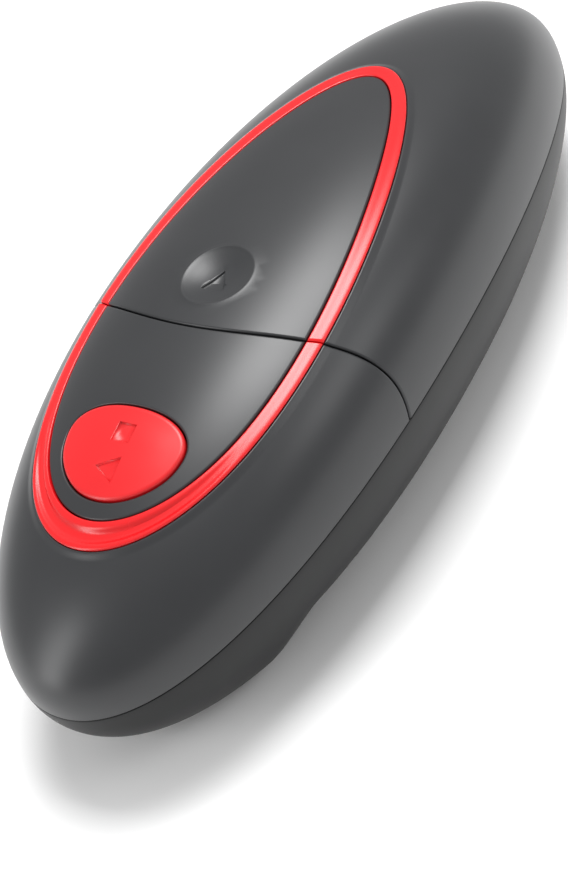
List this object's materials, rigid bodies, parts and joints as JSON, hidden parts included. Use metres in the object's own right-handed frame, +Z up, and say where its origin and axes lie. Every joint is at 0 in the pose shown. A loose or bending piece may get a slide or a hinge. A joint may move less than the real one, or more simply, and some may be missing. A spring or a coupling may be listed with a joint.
{
  "type": "electric can opener",
  "caption": "Hand-held battery can opener: oval two-part case, red trim ring and start button, slide-off battery cover, geared drive wheel and swinging side cutter.",
  "frame": {"origin": "centre of the case in plan, on the plane that the toe and the rear feet rest on", "axes": "+X along the case towards the battery end, +Z up, button end at -X"},
  "size_m": [0.2, 0.0764, 0.0567],
  "materials": {
    "case_dark": "satin",
    "case_grey": "satin",
    "trim_red": "gloss",
    "button_red": "satin",
    "spring_steel": "drawn wire",
    "board_green": "solder mask",
    "switch_black": "moulded",
    "screw_steel": "zinc plated",
    "tray_black": "moulded",
    "cell_jacket": "printed sleeve",
    "contact_nickel": "nickel plated",
    "motor_steel": "zinc plated",
    "motor_nylon": "moulded",
    "shaft_steel": "ground",
    "brass": "hobbed",
    "bronze": "sintered",
    "frame_nylon": "moulded",
    "gear_acetal": "moulded",
    "hard_steel": "hardened and ground",
    "turret_black": "moulded",
    "magnet_nickel": "nickel plated",
    "label_silver": "blank film",
    "foot_rubber": "moulded"
  },
  "bodies": {
    "case": {"lower_case": "case_dark", "front_cover": "case_grey", "trim_ring_front": "trim_red", "button_spring": "spring_steel", "circuit_board": "board_green", "tact_switch": "switch_black", "board_screws": "screw_steel", "battery_tray": "tray_black", "tray_screws": "screw_steel", "cell_1": "cell_jacket", "cell_2": "cell_jacket", "cell_3": "cell_jacket", "cell_4": "cell_jacket", "contact_springs": "spring_steel", "contact_plates": "contact_nickel", "motor_can": "motor_steel", "motor_end_cap": "motor_nylon", "motor_bracket": "motor_steel", "motor_screws": "screw_steel", "gear_deck": "frame_nylon", "gear_top_plate": "frame_nylon", "gear_spacers": "frame_nylon", "gearbox_screws": "screw_steel", "gear_axles": "shaft_steel", "drive_bush": "bronze", "rim_guides": "shaft_steel", "magnet_cup": "tray_black", "magnet": "magnet_nickel", "case_screws": "screw_steel", "rating_plate": "label_silver", "rear_feet": "foot_rubber"},
    "battery_cover": {"battery_cover": "case_grey", "trim_ring_rear": "trim_red"},
    "button": {"start_button": "button_red"},
    "motor_rotor": {"motor_shaft": "shaft_steel", "motor_pinion": "brass"},
    "gear_1": {"gear_1": "gear_acetal"},
    "gear_2": {"gear_2": "gear_acetal"},
    "gear_3": {"gear_3": "gear_acetal"},
    "drive": {"output_gear": "gear_acetal", "drive_shaft": "shaft_steel", "drive_wheel": "hard_steel", "drive_wheel_screw": "screw_steel"},
    "turret": {"turret": "turret_black", "turret_clip": "spring_steel", "cutter_washer": "hard_steel", "cutter_screw": "hard_steel"},
    "cutter": {"cutter_wheel": "hard_steel"}
  },
  "joints": [
    {"name": "battery_cover_slide", "type": "slide", "parent": "case", "child": "battery_cover", "axis": [0.9981, 0, 0.061], "range_m": [0, 0.07]},
    {"name": "button_press", "type": "slide", "parent": "case", "child": "button", "axis": [0, 0, -1], "range_m": [0, 0.001], "stiffness_N_per_m": 900, "springref_m": -0.0008, "deforming": ["button_spring"]},
    {"name": "motor_spin", "type": "hinge", "parent": "case", "child": "motor_rotor", "pos_m": [-0.0765, 0, 0], "axis": [0, 0, 1], "continuous": true},
    {"name": "gear_1_spin", "type": "hinge", "parent": "case", "child": "gear_1", "pos_m": [-0.06165, 0, 0], "axis": [0, 0, 1], "continuous": true},
    {"name": "gear_2_spin", "type": "hinge", "parent": "case", "child": "gear_2", "pos_m": [-0.04731, -0.00384, 0], "axis": [0, 0, 1], "continuous": true},
    {"name": "gear_3_spin", "type": "hinge", "parent": "case", "child": "gear_3", "pos_m": [-0.03807, -0.01566, 0], "axis": [0, 0, 1], "continuous": true},
    {"name": "drive_wheel_spin", "type": "hinge", "parent": "case", "child": "drive", "pos_m": [-0.032, 0, 0], "axis": [0, 0, 1], "continuous": true},
    {"name": "turret_swing", "type": "hinge", "parent": "case", "child": "turret", "pos_m": [-0.0497, 0, 0], "axis": [0, 0, -1], "range_deg": [0, 150]},
    {"name": "cutter_spin", "type": "hinge", "parent": "turret", "child": "cutter", "pos_m": [-0.05264, 0.0017, 0], "axis": [0, 0, 1], "continuous": true}
  ],
  "couplings": [
    {"joint": "gear_1_spin", "follows": "motor_spin", "ratio": -0.22727},
    {"joint": "gear_2_spin", "follows": "motor_spin", "ratio": 0.051653},
    {"joint": "gear_3_spin", "follows": "motor_spin", "ratio": -0.012913},
    {"joint": "drive_wheel_spin", "follows": "motor_spin", "ratio": 0.0040354}
  ]
}
